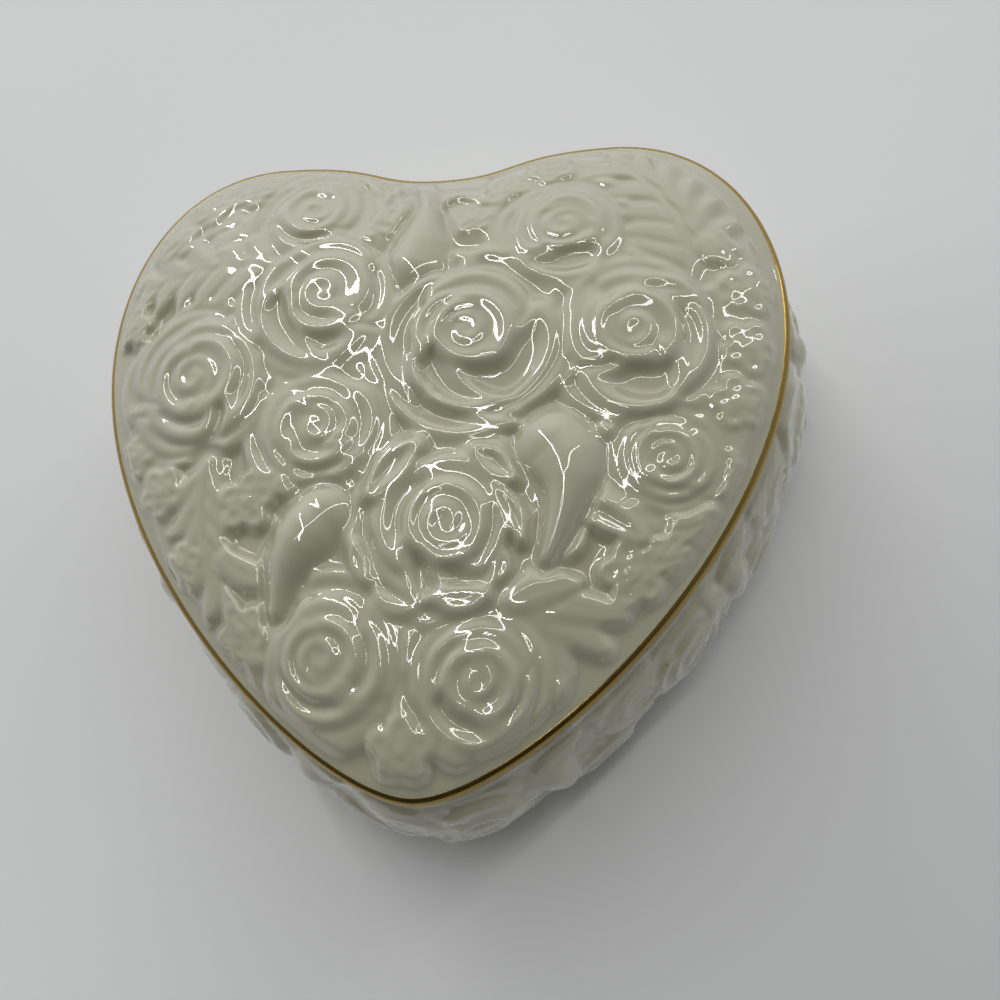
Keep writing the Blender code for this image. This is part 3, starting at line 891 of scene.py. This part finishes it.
def fired_gold():
    """Burnished gold, slightly worn and faintly uneven."""
    made, nodes, links, shader = shader_of("fired_gold")
    place = nodes.new("ShaderNodeTexCoord").outputs["Object"]
    worn = ranged(nodes, links, noise(nodes, links, place, 300, 4), 0.62, 0.72, 0, 0.5)
    tint = blended(nodes, links, worn, GOLD, WORN_GOLD)
    links.new(tint, shader.inputs["Base Color"])
    rough = ranged(nodes, links, noise(nodes, links, place, 500, 3), 0.3, 0.7, 0.14, 0.26)
    links.new(rough, shader.inputs["Roughness"])
    shader.inputs["Metallic"].default_value = 1.0
    bumped(nodes, links, shader, noise(nodes, links, place, 900, 2), 0.2, 0.00005)
    return made


def table_top():
    """A pale matt table with a painted shadow, darker round one spot in front of the box on the right."""
    made, nodes, links, shader = shader_of("pale_table")
    place = nodes.new("ShaderNodeTexCoord").outputs["Object"]
    cloud = ranged(nodes, links, noise(nodes, links, place, 6, 2), 0.3, 0.7, 0, 1)
    away = nodes.new("ShaderNodeVectorMath")
    away.operation = "DISTANCE"
    links.new(place, away.inputs[0])
    away.inputs[1].default_value = PAINTED_SHADOW_SPOT
    # Painted shadow: the table's colour darkens to 70% at the spot and is back to full 0.2 m from it.
    shade = ranged(nodes, links, away.outputs["Value"], 0.03, 0.20, 0.70, 1.0)
    pale = blended(nodes, links, cloud, *TABLE_TONES)
    links.new(blended(nodes, links, shade, (0, 0, 0), pale), shader.inputs["Base Color"])
    shader.inputs["Roughness"].default_value = 0.6
    return made


# ---------------------------------------------------------------- stage

def floor():
    mesh = bpy.data.meshes.new("floor")
    signs = ((-1, -1), (1, -1), (1, 1), (-1, 1))
    corners = [(x * FLOOR_HALF, y * FLOOR_HALF, 0) for x, y in signs]
    mesh.from_pydata(corners, [], [(0, 1, 2, 3)])
    made = bpy.data.objects.new("floor", mesh)
    mesh.materials.append(table_top())
    bpy.context.scene.collection.objects.link(made)


def area_light(name, place, width, length, power, colour):
    data = bpy.data.lights.new(name, "AREA")
    data.shape = "RECTANGLE"
    data.size = width
    data.size_y = length
    data.energy = power
    data.color = colour
    made = bpy.data.objects.new(name, data)
    made.location = place
    made.rotation_euler = (Vector(LAMP_AIM) - Vector(place)).to_track_quat("-Z", "Y").to_euler()
    bpy.context.scene.collection.objects.link(made)


def room():
    """Light from all round, brightest towards the far left and dim overhead and near the viewer."""
    world = bpy.data.worlds.new("room")
    world.use_nodes = True
    nodes, links = world.node_tree.nodes, world.node_tree.links
    way = nodes.new("ShaderNodeSeparateXYZ")
    links.new(nodes.new("ShaderNodeTexCoord").outputs["Generated"], way.inputs["Vector"])
    walls = ranged(nodes, links, way.outputs["Z"], 0.5, 0.95, 1.0, 0.3)
    depth = ranged(nodes, links, way.outputs["Y"], -0.6, 0.8, 0.08, 1.2)
    aside = ranged(nodes, links, way.outputs["X"], -1.0, 1.0, 1.2, 0.75)
    level = multiplied(nodes, links, multiplied(nodes, links, walls, depth), aside)
    shine = nodes["Background"]
    shine.inputs["Color"].default_value = SKY
    links.new(multiplied(nodes, links, level, ROOM_STRENGTH), shine.inputs["Strength"])
    bpy.context.scene.world = world


def light_the_scene():
    """Two long narrow lamps side by side overhead, and a broad soft one behind."""
    room()
    area_light("strip_a", (-0.24, 0.34, 1.15), STRIP_WIDTH, STRIP_LENGTH, 5.0, WARM_WHITE)
    area_light("strip_b", (0.38, 0.34, 1.15), STRIP_WIDTH, STRIP_LENGTH, 2.9, WARM_WHITE)
    area_light("window", (-0.15, 0.95, 0.75), 1.4, 0.9, 0.8, COOL_WHITE)


def camera():
    data = bpy.data.cameras.new("camera")
    data.sensor_width = 36
    data.lens = 36
    data.clip_start = 0.01
    made = bpy.data.objects.new("camera", data)
    made.location = (0.0338, -0.0604, CAMERA_ABOVE_LID + (SEAT + LID_EDGE) * MM)
    made.rotation_euler = [math.radians(angle) for angle in CAMERA_TURN]
    bpy.context.scene.collection.objects.link(made)
    bpy.context.scene.camera = made
    bpy.context.scene.view_settings.view_transform = "Standard"


def main():
    camera()
    floor()
    light_the_scene()
    pieces = (
        (lid(), "lid", "lid", "lid_glaze", porcelain("lid_glaze")),
        (cup(), "base", "base", "base_glaze", porcelain("base_glaze")),
        (gold_edge(), "gold_band", "lid", "fired_gold", fired_gold()),
    )
    for piece, node, body, slot, look in pieces:
        piece.data.materials.append(look)
        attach(piece, body)
        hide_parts(node)


main()
